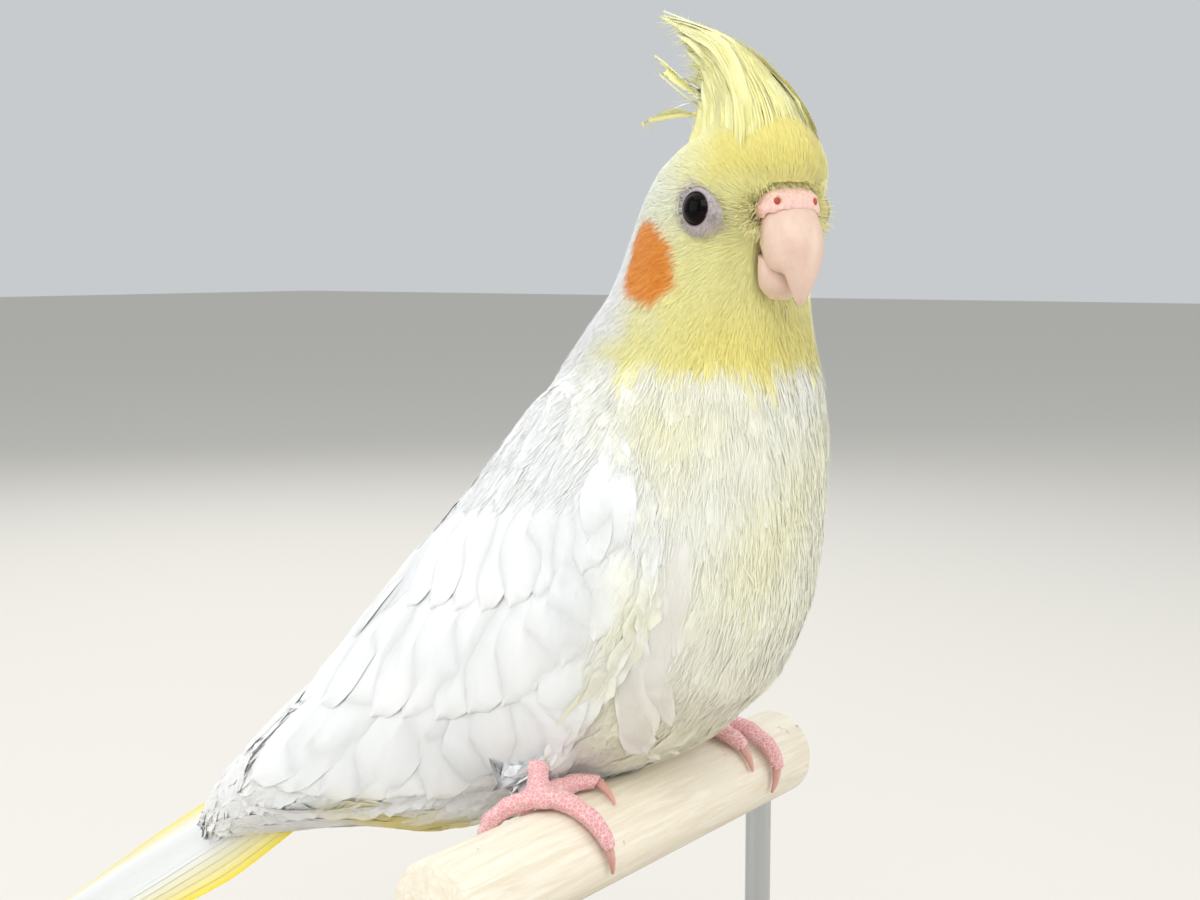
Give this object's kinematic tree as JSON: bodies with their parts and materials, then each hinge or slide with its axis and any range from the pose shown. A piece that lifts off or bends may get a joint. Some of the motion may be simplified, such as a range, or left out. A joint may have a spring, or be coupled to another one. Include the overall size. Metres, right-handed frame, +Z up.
{
  "type": "cockatiel",
  "caption": "Life-size still cockatiel with a white body, yellow head and crest and orange cheeks, gripping a short wooden perch on a plain display stand.",
  "frame": {"origin": "centre of the display stand base's underside, on the floor", "axes": "+Z up; the bird's body faces -Y and its left side is +X; the perch lies along X"},
  "size_m": [0.132, 0.2532, 0.2506],
  "materials": {
    "white_plumage": "soft matte feather vanes",
    "yellow_plumage": "soft matte feather vanes",
    "bill_horn": "worn satin horn",
    "cere_skin": "bare matte skin",
    "eye_gloss": "wet gloss",
    "foot_skin": "scaly dry skin",
    "claw_horn": "satin horn",
    "perch_wood": "raw sanded birch",
    "base_wood": "satin varnished walnut",
    "rod_steel": "brushed stainless steel"
  },
  "bodies": {
    "root": {"rump": "white_plumage", "trunk": "white_plumage", "wing_right": "white_plumage", "wing_left": "white_plumage", "thigh_right": "white_plumage", "thigh_left": "white_plumage", "tail": "white_plumage", "neck": "yellow_plumage", "head": "yellow_plumage", "crest": "yellow_plumage", "bill_upper": "bill_horn", "bill_lower": "bill_horn", "cere": "cere_skin", "eye_right": "eye_gloss", "eye_left": "eye_gloss", "foot_right": "foot_skin", "claw_right_front_outer": "claw_horn", "claw_right_front_inner": "claw_horn", "claw_right_back_outer": "claw_horn", "claw_right_back_inner": "claw_horn", "foot_left": "foot_skin", "claw_left_front_outer": "claw_horn", "claw_left_front_inner": "claw_horn", "claw_left_back_outer": "claw_horn", "claw_left_back_inner": "claw_horn", "perch": "perch_wood", "stand_base": "base_wood", "stand_rod_1": "rod_steel", "stand_rod_2": "rod_steel"}
  },
  "joints": []
}
